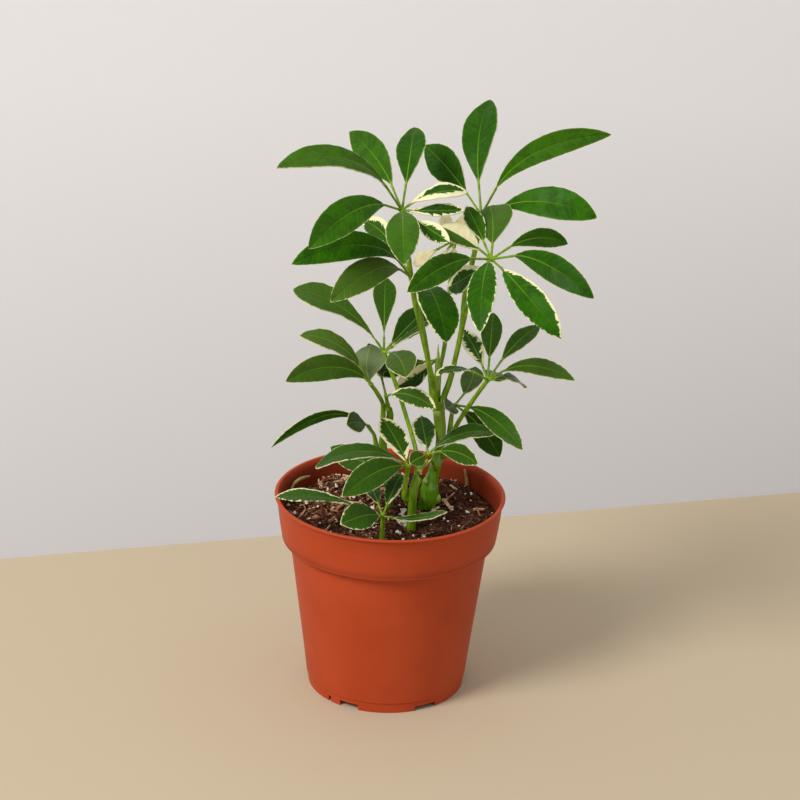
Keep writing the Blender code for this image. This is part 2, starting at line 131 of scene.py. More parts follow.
# Pale swellings where old leaves grew, as (x, y, z, radius).
SWELLINGS = [(22.0, 5.6, 91.0, 1.9), (16.3, 4.6, 100.2, 1.3), (20.4, 5.8, 107.6, 1.5), (19.0, 4.2, 95.6, 1.2),
             (22.6, 7.6, 118.0, 1.4), (21.2, 8.8, 133.4, 1.9), (23.6, 9.2, 127.0, 1.2)]

# How a blade is marked: the cream margin's width, how much more of it one side has (plus: the blade's
# own left side, seen from its foot), and how far its edge wanders.
MARKS = {
    "plain": (0.05, 0.0, 0.10),
    "rimmed": (0.12, 0.0, 0.20),
    "jagged": (0.28, 0.0, 0.6),
    "scalloped": (0.5, 0.8, 0.7),
    "scalloped_off": (0.5, -0.8, 0.7),
    "wide": (1.1, 0.0, 1.5),
    "third": (1.2, 0.8, 0.9),
    "third_off": (1.2, -0.8, 0.9),
    "half_off": (2.2, -0.9, 1.5),
    "split_off": (3.4, -0.85, 0.7),
    "island": (2.9, -0.4, 0.9),
    "cream": (40.0, 0.0, 0.0),
}

# Leaves. "from" is where the stalk leaves its stem, "route" what it passes through and "hub" where it ends.
# "lean" tips the ring of leaflets, and its second number is the heading it tips towards. A leaflet is (turn,
# lift, stalk, length, width, droop, roll, sway, mark, deep, pale): deep runs from bright to deep green, and
# pale greys it with painted sheen and tans its cream in patches. One more number, above USUAL_WIDEST,
# makes a blade widest nearer its tip.
LEAVES = {
    "leaf_crown_left": {
        "from": (18.2, 10.5, 141.0), "stalk": 1.2,
        "route": [(16.6, 10, 154), (13.6, 9.5, 171), (9.9, 9, 188.3), (6.8, 9, 200), (4.6, 4.5, 216)],
        "hub": (2, -2, 234), "lean": (28, 270),
        "leaflets": [(182, 64, 17, 57, 14, 85, 0, 18, "plain", 0.1, 0.3),
                     (107, -2, 17, 41, 14, 0, -37, 25, "plain", 0.1, 0.15),
                     (84, 12, 14, 38, 14, 26, -20, 3, "plain", 0.5, 0.0),
                     (229, 46, 16, 51, 15, 75, -30, -4, "plain", 0.0, 0.1),
                     (271, 41, 7, 41, 15, 62, 7, 2, "rimmed", 0.0, 0.3),
                     (15, 42, 3, 29, 13, 65, -14, -7, "island", 0.5, 0.0, 1.7),
                     (341, 20, 3, 26, 11, 17, -15, 19, "wide", 0.8, 0.0),
                     (303, 20, 12, 24, 8, 17, 23, 14, "third", 0.3, 0.0)],
    },
    "leaf_crown_right": {
        "from": (23.9, 11.1, 141.0), "stalk": 1.2,
        "route": [(26.6, 13, 150), (29.2, 15, 162), (31.0, 18, 173), (32, 20, 189), (35.5, 21, 207)],
        "hub": (38, 20, 226), "lean": (30, 285),
        "leaflets": [(101, 29, 15, 46, 18, 31, -36, -30, "plain", 0.4, 0.0),
                     (358, 79, 18, 65, 11, 70, 48, 3, "plain", 0.0, 0.15),
                     (340, 50, 12, 48, 15, 60, 30, 0, "plain", 0.0, 0.0),
                     (116, -4, 16, 35, 15, 0, -45, 14, "rimmed", 0.5, 0.0)],
    },
    "leaf_front_right": {
        "from": (23.5, 7.5, 141.0), "stalk": 1.1,
        "route": [(26.3, 6.2, 150), (28.8, 3.0, 166), (31, -1.5, 181), (33.2, -7, 196), (37, -13, 209)],
        "hub": (42, -16, 217), "lean": (32, 275),
        "leaflets": [(224, 39, 16, 43, 12, 52, -41, 1, "rimmed", 0.0, 0.1),
                     (255, 41, 5, 47, 13, 72, 20, 18, "jagged", 0.0, 0.0),
                     (289, 33, 14, 51, 13, 53, 15, 24, "scalloped", 0.15, 0.0),
                     (307, 50, 21, 51, 12, 67, 40, 16, "plain", 0.6, 0.0),
                     (87, 7, 8, 29, 19, 40, -20, 8, "plain", 0.4, 0.45),
                     (110, 4, 9, 23, 9, 10, 2, 0, "jagged", 0.0, 0.1),
                     (156, 30, 6, 21, 12, 31, 1, -1, "split_off", 0.4, 0.5),
                     (166, -60, 8, 26, 13, -6, -26, -12, "third_off", 0.6, 0.0),
                     (47, -8, 12, 37, 9, 32, 41, -35, "rimmed", 0.2, 0.1)],
    },
    "leaf_upper_left": {
        "from": (19.9, 7.2, 141.0), "stalk": 1.2,
        "route": [(17.8, 5, 152), (14.6, 3, 166), (11.6, 2, 179), (8.8, 2, 190)],
        "hub": (7, 3, 201), "lean": (30, 255),
        "leaflets": [(216, 71, 16, 61, 13, 85, -41, -14, "plain", 0.0, 0.0),
                     (235, 61, 12, 49, 14, 80, -31, -14, "rimmed", 0.0, 0.6),
                     (297, 38, 15, 45, 19, 67, -30, -20, "jagged", 0.2, 0.0),
                     (113, -2, 20, 32, 10, 21, -24, 19, "third_off", 0.5, 0.1)],
    },
    "leaf_cream_back": {
        "from": (20.9, 13.2, 141.0), "stalk": 1.0,
        "route": [(21.4, 17, 151), (23.4, 21, 162), (24.6, 26, 183)],
        "hub": (26.5, 28, 211), "lean": (8, 270),
        "leaflets": [(195, -25, 8, 14, 11, 15, 0, 0, "cream", 0.0, 1.0, 1.9),
                     (215, -42, 3, 10, 6, 25, 20, 0, "cream", 0.0, 0.8, 1.9),
                     (265, -45, 2, 9, 6, 20, -20, 0, "cream", 0.0, 0.8, 1.9),
                     (55, 35, 2, 15, 10, 20, 0, 0, "cream", 0.0, 0.9),
                     (125, 40, 4, 9, 7, 0, 0, 0, "cream", 0.0, 0.9, 1.9)],
    },
    "leaf_mid_left": {
        "from": ("front_stem", 107, 80), "stalk": 1.0,
        "route": [(11.8, -8, 118), (9.4, -4, 126.5), (6.9, -1.5, 133.5), (4.4, 0, 141), (1.4, 1, 149.5)],
        "hub": (-4.5, 2, 165), "lean": (20, 250),
        "leaflets": [(150, 58, 5, 48, 17, 60, 3, 12, "plain", 0.35, 0.45, 2.2),
                     (90, 11, 8, 36, 11, -5, 5, -2, "plain", 0.8, 0.2, 2.2),
                     (67, -10, 8, 34, 12, -10, 35, -12, "rimmed", 0.9, 0.1),
                     (40, 5, 4, 28, 8, 7, -28, 4, "rimmed", 0.9, 0.0),
                     (300, 32, 7, 31, 14, 33, 7, -25, "rimmed", 0.9, 0.5)],
    },
    "leaf_low_left": {
        "from": ("back_stem", 130, 200), "stalk": 1.0,
        "route": [(-4.5, 3, 139), (-7.2, -2, 146.5)],
        "hub": (-10, -8, 153), "lean": (22, 250),
        "leaflets": [(104, -8, 3, 30, 18, 0, 176, -28, "plain", 0.5, 0.9),
                     (206, 64, 4, 45, 12, 78, -60, 2, "plain", 0.45, 0.45),
                     (159, 68, 10, 34, 13, 78, 8, 9, "rimmed", 0.5, 0.7)],
    },
    "leaf_pair": {
        "from": (-2.2, 3.4, 138.2), "stalk": 0.9,
        "route": [(-2.6, 0.6, 141.5)],
        "hub": (-3, -2, 145), "lean": (20, 280),
        "leaflets": [(310, 48, 3, 33, 9, 50, 30, 7, "scalloped", 0.9, 0.3),
                     (100, -2, 13, 24, 10, -9, 15, 12, "plain", 0.9, 0.0)],
    },
    "leaf_inner": {
        "from": ("main_stem", 133, 115), "stalk": 0.9,
        "route": [(19.6, 18, 142), (20.0, 19.5, 149)],
        "hub": (20, 20, 155), "lean": (20, 230),
        "leaflets": [(155, -40, 4, 26, 10, -8, -60, 10, "half_off", 1.0, 0.0),
                     (185, 5, 5, 24, 9, 20, -30, 0, "jagged", 1.0, 0.0)],
    },
    "leaf_folded": {
        "from": ("back_stem", 116, 180), "stalk": 0.9,
        "route": [(-8.2, 9, 121)],
        "hub": (-11, 10, 125), "lean": (20, 220),
        "leaflets": [(237, 57, 8, 57, 5, 74, -85, -23, "plain", 0.6, 0.1),
                     (255, 50, 3, 21, 10, 24, -70, -7, "plain", 0.6, 0.4)],
    },
    "leaf_fork": {
        "from": ("front_stem", 102, 185), "stalk": 1.1,
        "route": [(6.9, -18.5, 109)],
        "hub": (8, -20, 118), "lean": (25, 260),
        "leaflets": [(184, 51, 4, 44, 15, 85, 20, 14, "rimmed", 0.8, 0.2),
                     (227, 45, 3, 42, 13, 57, -40, -1, "rimmed", 0.5, 0.25),
                     (159, -18, 6, 39, 12, -12, -36, -23, "rimmed", 0.9, 0.2),
                     (109, 6, 3, 28, 13, 0, 19, 12, "wide", 0.7, 0.2)],
    },
    "leaf_stem_front": {
        "from": ("main_stem", 108, 265), "stalk": 0.9,
        "route": [(19.0, 0, 113), (18.0, -6, 117)],
        "hub": (17, -10, 120), "lean": (22, 280),
        "leaflets": [(5, 59, 3, 35, 14, 77, -17, 1, "plain", 0.9, 0.2),
                     (315, 47, 9, 29, 9, 40, 65, -9, "rimmed", 0.8, 0.2),
                     (228, 24, 2, 11, 8, 30, -30, 0, "plain", 0.7, 0.4),
                     (96, -11, 4, 28, 11, -2, -3, 0, "scalloped", 0.9, 0.1)],
    },
    "leaf_right": {
        "from": ("main_stem", 114, 320), "stalk": 1.1,
        "route": [(29.4, 2, 129), (35.8, -2, 142.5)],
        "hub": (43, -4, 155), "lean": (18, 290),
        "leaflets": [(321, 53, 11, 42, 8, 58, 45, 6, "rimmed", 0.7, 0.4),
                     (62, 14, 13, 33, 9, 19, 4, -12, "plain", 0.4, 0.3),
                     (87, 7, 14, 31, 10, 0, -10, 0, "plain", 0.6, 0.2),
                     (102, -1, 10, 30, 9, 3, -15, 12, "wide", 0.8, 0.1),
                     (222, 42, 13, 28, 8, 43, 15, 1, "scalloped_off", 0.9, 0.1),
                     (319, 37, 3, 9, 4, 10, 10, 0, "plain", 0.9, 0.0),
                     (40, -15, 9, 21, 10, 40, 0, 0, "plain", 0.9, 0.1),
                     (74, -24, 6, 20, 11, 10, 0, 0, "plain", 0.9, 0.1)],
    },
    "leaf_right_back": {
        "from": ("main_stem", 120, 20), "stalk": 1.0,
        "route": [(27.6, 11.6, 131)],
        "hub": (29, 12, 136), "lean": (20, 300),
        "leaflets": [(299, 35, 13, 42, 10, 50, 42, 11, "rimmed", 0.7, 0.2),
                     (9, -36, 5, 34, 13, 21, 55, -18, "plain", 0.9, 0.0),
                     (255, 36, 3, 18, 9, 14, -30, -14, "plain", 0.9, 0.5),
                     (68, -9, 12, 28, 11, -4, -14, 18, "plain", 0.9, 0.5)],
    },
    "leaf_seedling": {
        "from": (-3.0, -28.0, 93.2), "stalk": 0.9,
        "route": [(-3.0, -28, 94.6)],
        "hub": (-3, -28, 96.4), "lean": (12, 250),
        "leaflets": [(180, 33, 3, 48, 12, 40, 8, -2, "scalloped_off", 0.7, 0.2, 2.3),
                     (239, 40, 3, 29, 13, 36, -45, -14, "jagged", 0.6, 0.3),
                     (103, 2, 9, 26, 8, 20, 3, 5, "plain", 0.8, 0.2),
                     (76, 8, 7, 25, 9, 7, -9, -4, "scalloped_off", 0.9, 0.1),
                     (345, 0, 4, 27, 9, -26, -12, 8, "rimmed", 0.8, 0.2)],
    },
}
STALK_GAP = 0.5
USUAL_WIDEST = 1.3
BLADE_STEPS = 30
BLADE_SIDES = 10
BLADE_THICKNESS = 0.45
BLADE_FOLD = 0.17

# Young shoots: (x, y, z) of the base, and each spike as (heading, lean, length, width).
SHOOTS = {
    "bud_cluster": ((13.4, -13.6, 113.6), [(40, 8, 6, 2.0), (150, 25, 5, 1.8), (250, 22, 5, 1.8),
                                           (340, 30, 7, 1.8), (10, 45, 8, 1.5), (60, 25, 9, 1.5),
                                           (200, 30, 6, 1.5)]),
    "top_shoot": ((21.1, 9.9, 140.6), [(170, 2, 26, 2.2), (250, 6, 20, 1.8)]),
}

# The camera and the key light, in metres.
CAMERA_PLACE = (0.0034, -1.0804, 0.5733)
CAMERA_PITCH = 21.74
CAMERA_LEAN = 1.55
LENS = 114.1
KEY_PLACE = (-1.5, -1.3, 1.9)
KEY_TARGET = (0, 0, 0.15)
KEY_POWER = 57.0

# The painted shade on the pot's inner wall lies between these heights, in metres, fading out at the top.
INNER_SHADE_LOW = (0.0752, 0.0756)
INNER_SHADE_HIGH = (0.0955, 0.091)

# ---------------------------------------------------------------- node materials


class Paint:
    """A material's nodes, made one line at a time."""

    def __init__(self, name):
        self.material = bpy.data.materials.new(name)
        self.material.use_nodes = True
        self.tree = self.material.node_tree
        self.shader = self.tree.nodes["Principled BSDF"]

    def node(self, kind, **settings):
        made = self.tree.nodes.new(kind)
        for key, value in settings.items():
            setattr(made, key, value)
        return made

    def feed(self, socket, value):
        if isinstance(value, bpy.types.NodeSocket):
            self.tree.links.new(value, socket)
        else:
            socket.default_value = value

    def maths(self, operation, a, b=0.0, c=0.0, clamp=False):
        made = self.node("ShaderNodeMath", operation=operation, use_clamp=clamp)
        for socket, value in zip(made.inputs, (a, b, c)):
            self.feed(socket, value)
        return made.outputs[0]

    def step(self, value, low, high):
        """0 below low, 1 above high, and smooth between them."""
        made = self.node("ShaderNodeMapRange", interpolation_type="SMOOTHSTEP")
        self.feed(made.inputs["Value"], value)
        self.feed(made.inputs["From Min"], low)
        self.feed(made.inputs["From Max"], high)
        return made.outputs[0]

    def mix(self, share, a, b, blend="MIX"):
        made = self.node("ShaderNodeMix", data_type="RGBA", blend_type=blend)
        self.feed(made.inputs["Factor"], share)
        self.feed(made.inputs["A"], a)
        self.feed(made.inputs["B"], b)
        return made.outputs["Result"]

    def place(self):
        return self.node("ShaderNodeTexCoord").outputs["Object"]

    def split(self, vector):
        parts = self.node("ShaderNodeSeparateXYZ")
        self.feed(parts.inputs[0], vector)
        return parts.outputs

    def value(self, name):
        """A vector attribute of the mesh, split in three."""
        return self.split(self.node("ShaderNodeAttribute", attribute_name=name).outputs["Vector"])

    def join(self, x, y, z):
        made = self.node("ShaderNodeCombineXYZ")
        for socket, value in zip(made.inputs, (x, y, z)):
            self.feed(socket, value)
        return made.outputs[0]

    def grain(self, where, scale, detail=4.0, roughness=0.55):
        made = self.node("ShaderNodeTexNoise")
        self.feed(made.inputs["Vector"], where)
        self.feed(made.inputs["Scale"], scale)
        self.feed(made.inputs["Detail"], detail)
        self.feed(made.inputs["Roughness"], roughness)
        return made.outputs["Fac"]

    def ramp(self, value, *stops):
        made = self.node("ShaderNodeValToRGB")
        self.feed(made.inputs[0], value)
        elements = made.color_ramp.elements
        while len(elements) < len(stops):
            elements.new(0.5)
        for element, (position, colour) in zip(elements, stops):
            element.position = position
            element.color = colour
        return made.outputs[0]

    def bump(self, height, strength, distance):
        made = self.node("ShaderNodeBump")
        self.feed(made.inputs["Height"], height)
        self.feed(made.inputs["Strength"], strength)
        self.feed(made.inputs["Distance"], distance)
        self.feed(self.shader.inputs["Normal"], made.outputs[0])

    def finish(self, colour, roughness, gloss):
        self.feed(self.shader.inputs["Base Color"], colour)
        self.feed(self.shader.inputs["Roughness"], roughness)
        self.shader.inputs["Specular IOR Level"].default_value = gloss
        return self.material


def leaf_paint(name, bright, deep, painted_sheen, rib, cream, tan, roughness, under=False):
    """A blade's finish: green with mottling, a midrib, side veins, grey painted sheen and a cream margin that
    wanders.
    """
    paint = Paint(name)
    along, across, edge = paint.value("blade")
    rim, bias, jag = paint.value("mark")
    deepness, sheen_share, seed = paint.value("tone")
    off = paint.maths("ABSOLUTE", across)
    # Distance along the slanting side veins, so that marks run from the midrib out and forwards.
    slant = paint.maths("MULTIPLY_ADD", off, -0.75, along)
    start = paint.maths("MULTIPLY", seed, 60.0)
    streaks = paint.join(paint.maths("MULTIPLY", slant, 0.55), paint.maths("MULTIPLY", across, 0.22), start)
    coarse = paint.grain(streaks, 1.0, 3.0, 0.6)
    mottle = paint.grain(paint.join(along, across, start), 0.16, 3.0)
    veins = paint.maths("PINGPONG", paint.maths("MULTIPLY_ADD", mottle, 1.4, slant), 1.6)
    vein = paint.step(veins, 0.28, 0.0)
    middle = paint.step(off, 0.42, 0.12)
    green = paint.mix(deepness, bright, deep)
    green = paint.mix(paint.maths("MULTIPLY", paint.step(mottle, 0.4, 0.6), 0.6), green, deep)
    # Painted sheen: grey in streaks along the side veins, and grey over the whole of a pale leaflet.
    green = paint.mix(paint.maths("MULTIPLY", paint.step(coarse, 0.52, 0.72), 0.18), green, painted_sheen)
    green = paint.mix(paint.maths("MULTIPLY", sheen_share, 0.9), green, painted_sheen)
    green = paint.mix(paint.maths("MULTIPLY", vein, 0.15), green, rib)
    green = paint.mix(paint.maths("MULTIPLY", middle, paint.step(along, 48.0, 4.0)), green, rib)
    side = paint.maths("SIGN", across)
    reach = paint.maths("MULTIPLY", rim, paint.maths("MULTIPLY_ADD", bias, side, 1.0))
    wander = paint.maths("MULTIPLY", paint.maths("SUBTRACT", coarse, 0.5), paint.maths("MULTIPLY", jag, 5.0))
    margin = paint.maths("SUBTRACT", paint.maths("ADD", reach, wander), edge)
    creamy = paint.step(margin, -0.12, 0.12)
    halo = paint.maths("MULTIPLY", paint.step(margin, -1.0, 0.0), 0.25)
    colour = paint.mix(halo, green, rib)
    # On a pale leaflet the cream margin turns tan in patches.
    tan_share = paint.maths("MULTIPLY", sheen_share, paint.step(mottle, 0.25, 0.65))
    colour = paint.mix(creamy, colour, paint.mix(tan_share, cream, tan))
    relief = paint.maths("MULTIPLY_ADD", vein, -0.10, paint.maths("MULTIPLY", coarse, 0.8))
    paint.bump(paint.maths("MULTIPLY_ADD", middle, 0.4 if under else -0.4, relief), 0.8, 0.0006)
    return paint.finish(colour, paint.maths("MULTIPLY_ADD", mottle, 0.2, roughness - 0.1), gloss=0.05)


def stalk_paint(name, low, high, roughness, scale, gloss, upper=None):
    """Green bark: lengthwise streaks, pale flecks, a little gloss and, if given, another shade higher up."""
    paint = Paint(name)
    place = paint.place()
    stretch = paint.node("ShaderNodeMapping")
    paint.feed(stretch.inputs["Vector"], place)
    stretch.inputs["Scale"].default_value = (1.0, 1.0, 0.14)
    streak = paint.grain(stretch.outputs[0], scale, 5.0)
    blotch = paint.grain(place, 90.0, 2.0)
    colour = paint.mix(paint.step(streak, 0.35, 0.68), low, high)
    colour = paint.mix(paint.maths("MULTIPLY", paint.step(blotch, 0.5, 0.75), 0.4), colour, high)
    if upper:
        height = paint.split(place)[2]
        colour = paint.mix(paint.maths("MULTIPLY", paint.step(height, 0.100, 0.122), 0.75), colour, upper)
    paint.bump(streak, 0.35, 0.0003)
    return paint.finish(colour, roughness, gloss)


def plastic_paint():
    """Moulded terracotta-coloured plastic: a fine satin skin, faint mottling and scuffs, and painted shade on
    the inner wall.
    """
    paint = Paint("terracotta_plastic_finish")
    place = paint.place()
    cloud = paint.grain(place, 28.0, 3.0)
    skin = paint.grain(place, 900.0, 2.0)
    colour = paint.mix(paint.step(cloud, 0.3, 0.7), (0.395, 0.052, 0.014, 1), (0.445, 0.063, 0.019, 1))
    x, y, z = paint.split(place)
    across = paint.maths("ADD", paint.maths("MULTIPLY", x, x), paint.maths("MULTIPLY", y, y))
    radius = paint.maths("SQRT", across)
    # The middle of the wall's thickness, so that only the inner side gets the painted shade.
    wall = paint.maths("MULTIPLY_ADD", z, 0.1, 0.0427)
    high = paint.maths("MULTIPLY", paint.step(z, *INNER_SHADE_LOW), paint.step(z, *INNER_SHADE_HIGH))
    inner_shade = paint.maths("MULTIPLY", paint.step(paint.maths("SUBTRACT", radius, wall), 0.0002, -0.0002), high)
    # Painted shade: the inner wall is darkened up from the soil, fading out near the lip.
    colour = paint.mix(paint.maths("MULTIPLY", inner_shade, 0.55), colour, (0.10, 0.016, 0.008, 1))
    paint.bump(paint.maths("MULTIPLY_ADD", cloud, 2.0, skin), 0.12, 0.0002)
    return paint.finish(colour, paint.maths("MULTIPLY_ADD", cloud, 0.12, 0.40), gloss=0.12)


def soil_paint():
    """Damp peat: dark brown crumbs."""
    paint = Paint("peat_finish")
    place = paint.place()
    crumb = paint.grain(place, 420.0, 6.0)
    patch = paint.grain(place, 60.0, 2.0)
    colour = paint.ramp(crumb, (0.35, (0.014, 0.005, 0.003, 1)), (0.52, (0.065, 0.024, 0.012, 1)),
                        (0.7, (0.22, 0.088, 0.045, 1)))
    colour = paint.mix(paint.maths("MULTIPLY", patch, 0.3), colour, (0.03, 0.014, 0.01, 1))
    paint.bump(crumb, 1.0, 0.0015)
    return paint.finish(colour, 0.95, gloss=0.1)


def chip_paint():
    """Bark: each chip has its own shade, from nearly black to tan, with fibres along it."""
    paint = Paint("bark_finish")
    shade, along, seed = paint.value("chip")
    place = paint.place()
    fibre = paint.grain(paint.join(paint.maths("MULTIPLY", along, 2.0), shade, seed), 6.0, 4.0)
    grit = paint.grain(place, 700.0, 4.0)
    colour = paint.ramp(shade, (0.0, (0.012, 0.004, 0.002, 1)), (0.3, (0.085, 0.028, 0.013, 1)),
                        (0.6, (0.21, 0.075, 0.034, 1)), (0.82, (0.52, 0.25, 0.13, 1)),
                        (1.0, (0.85, 0.60, 0.42, 1)))
    dark = paint.maths("MULTIPLY", paint.step(paint.maths("ADD", fibre, grit), 1.1, 0.8), 0.5)
    colour = paint.mix(dark, colour, (0.03, 0.012, 0.007, 1))
    paint.bump(grit, 0.8, 0.0006)
    return paint.finish(colour, 0.85, gloss=0.15)


def perlite_paint():
    paint = Paint("perlite_finish")
    pores = paint.grain(paint.place(), 900.0, 4.0)
    colour = paint.ramp(pores, (0.3, (0.55, 0.46, 0.38, 1)), (0.55, (0.92, 0.86, 0.78, 1)))
    paint.bump(pores, 0.8, 0.0004)
    return paint.finish(colour, 0.9, gloss=0.3)


def stage_paint(name, colour, variation, painted_shade=0.0):
    """A plain pale surface. With painted shade, its colour is darker low down and to the right."""
    paint = Paint(name)
    place = paint.place()
    cloud = paint.grain(place, 3.0, 3.0)
    dark = (*(c * (1 - variation) for c in colour[:3]), 1)
    plain = paint.mix(cloud, dark, colour)
    if painted_shade:
        # Painted shade: the colour darkens the lower it is and the further right it is.
        x, _, z = paint.split(place)
        depth = paint.maths("MULTIPLY_ADD", z, -1.0, -0.14)
        slant = paint.maths("MULTIPLY_ADD", x, 0.5, 1.0)
        shade = (*(c * (1 - painted_shade) for c in colour[:3]), 1)
        plain = paint.mix(paint.maths("MULTIPLY", depth, slant, clamp=True), plain, shade)
    return paint.finish(plain, 0.9, gloss=0.1)


GREENS = {
    "top": leaf_paint("leaf_top", (0.026, 0.120, 0.001, 1), (0.013, 0.054, 0.003, 1),
                      (0.09, 0.15, 0.022, 1), (0.12, 0.25, 0.012, 1), (0.76, 0.74, 0.45, 1),
                      (0.66, 0.53, 0.30, 1), 0.33),
    "under": leaf_paint("leaf_underside", (0.11, 0.20, 0.035, 1), (0.07, 0.12, 0.04, 1),
                        (0.17, 0.23, 0.10, 1), (0.25, 0.38, 0.09, 1), (0.70, 0.68, 0.42, 1),
                        (0.62, 0.50, 0.30, 1), 0.6, under=True),
    "stalk": stalk_paint("stalk_skin", (0.11, 0.22, 0.004, 1), (0.25, 0.42, 0.015, 1), 0.4, 900.0, 0.2),
    "bark": stalk_paint("stem_skin", (0.075, 0.18, 0.002, 1), (0.19, 0.36, 0.006, 1), 0.35, 500.0, 0.3),
    "bulb": stalk_paint("bulb_skin", (0.055, 0.20, 0.001, 1), (0.17, 0.40, 0.005, 1), 0.25, 420.0, 0.6,
                        upper=(0.16, 0.26, 0.010, 1)),
    "scar": stalk_paint("scar_skin", (0.16, 0.38, 0.006, 1), (0.36, 0.55, 0.10, 1), 0.35, 500.0, 0.4),
    "young": stalk_paint("shoot_skin", (0.20, 0.36, 0.02, 1), (0.42, 0.58, 0.10, 1), 0.4, 900.0, 0.3),
}

# ---------------------------------------------------------------- mesh tools


def placed(bm, name, *materials, scale=1.0):
    """The bmesh as an object of the scene, in metres."""
    bmesh.ops.scale(bm, vec=Vector((scale, scale, scale)), verts=bm.verts)
    mesh = bpy.data.meshes.new(name)
    bm.to_mesh(mesh)
    bm.free()
    for material in materials:
        mesh.materials.append(material)
    made = bpy.data.objects.new(name, mesh)
    bpy.context.scene.collection.objects.link(made)
    return made


def finished(bm, name, *materials, body="root", node=None, slot=None, sharp=50):
    """The bmesh as one piece, smooth but for its sharp edges, riding on the body."""
    piece = placed(bm, name, *materials, scale=MM)
    piece.data.shade_smooth()
    piece.data.set_sharp_from_angle(angle=radians(sharp))
    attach(piece, body)
    if node:
        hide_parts(node)
    return piece


def skin(bm, along, around, place, paint=None, record=None):
    """Adds a closed skin: a grid wrapped round, where place(along, around) gives each point.

    paint(around) gives a face its material, and record(vertex, along, around) writes a vertex's layers.
    """
    made = bmesh.ops.create_grid(bm, x_segments=along, y_segments=around, size=1.0)["verts"]
    faces = {face for vert in made for face in vert.link_faces}
    for face in faces:
        middle = face.calc_center_median()
        face.material_index = paint((middle.y + 1) / 2) if paint else 0
    for vert in made:
        u, v = (vert.co.x + 1) / 2, (vert.co.y + 1) / 2
        if record:
            record(vert, u, v)
        vert.co = place(u, v)
    bmesh.ops.remove_doubles(bm, verts=made, dist=0.0005)
    made = [vert for vert in made if vert.is_valid]
    rims = {edge for vert in made for edge in vert.link_edges if edge.is_boundary}
    ends = bmesh.ops.holes_fill(bm, edges=list(rims), sides=0)["faces"]
    for face in ends:
        face.material_index = paint(0.25) if paint else 0
    return made, list(faces) + ends


def smooth_path(points, per):
    """Points between the given ones, on a curve through them all. Each point may hold more than a place."""
    if len(points) == 2:
        points = [points[0], [(a + b) / 2 for a, b in zip(*points)], points[1]]
    path = []
    last = len(points) - 1
    for k in range(last):
        p0, p1, p2, p3 = points[max(k - 1, 0)], points[k], points[k + 1], points[min(k + 2, last)]
        for step in range(per):
            t = step / per
            path.append([
                0.5 * (2 * b + (c - a) * t + (2 * a - 5 * b + 4 * c - d) * t**2
                       + (3 * b - 3 * c + d - a) * t**3)
                for a, b, c, d in zip(p0, p1, p2, p3)])
    return path + [list(points[-1])]


def rod(bm, path, sides, material, knobs=0.0, seed=0.0):
    """A round rod through (x, y, z, radius) points, with rounded ends and, if wanted, a knobbly skin."""
    centres = [Vector(p[:3]) for p in path]
    whole = (centres[-1] - centres[0]).normalized()
    side = Vector((0, 1, 0)) if abs(whole.y) < 0.7 else Vector((1, 0, 0))
    last = len(path) - 1

    def place(u, v):
        k = round(u * last)
        ahead = (centres[min(k + 1, last)] - centres[max(k - 1, 0)]).normalized()
        first = ahead.cross(side).normalized()
        second = ahead.cross(first)
        angle = -2 * pi * v
        way = first * cos(angle) + second * sin(angle)
        reach = path[k][3]
        if knobs:
            spot = centres[k] + way * reach
            reach *= 1 + knobs * noise.noise(spot * 0.22 + Vector((seed, 0, 0)))
        return centres[k] + way * reach

    return skin(bm, last, sides, place, paint=lambda v: material)


def knob(bm, centre, radius, material, squash=1.0, subdivisions=2):
    ball = bmesh.ops.create_icosphere(bm, subdivisions=subdivisions, radius=radius)["verts"]
    for vert in ball:
        vert.co.z *= squash
        vert.co += centre
    for face in {face for vert in ball for face in vert.link_faces}:
        face.material_index = material


# ---------------------------------------------------------------- leaves

TOP, UNDER, STALK = 0, 1, 2


def leaf_axes(lean, toward):
    """The axis of a leaf's ring of leaflets, and the two directions across it that a turn starts from."""
    tip, way = radians(lean), radians(toward)
    axis = Vector((sin(tip) * cos(way), sin(tip) * sin(way), cos(tip)))
    first = Vector((1, 0, 0)) - axis * axis.x
    first.normalize()
    return axis, first, axis.cross(first)


def blade_width(along, late):
    """The outline of a blade, as a share of its width. The later it is widest, the blunter is its tip."""
    return max(0.03, sin(pi * along**late) ** 0.75) if 0 < along < 1 else 0.03


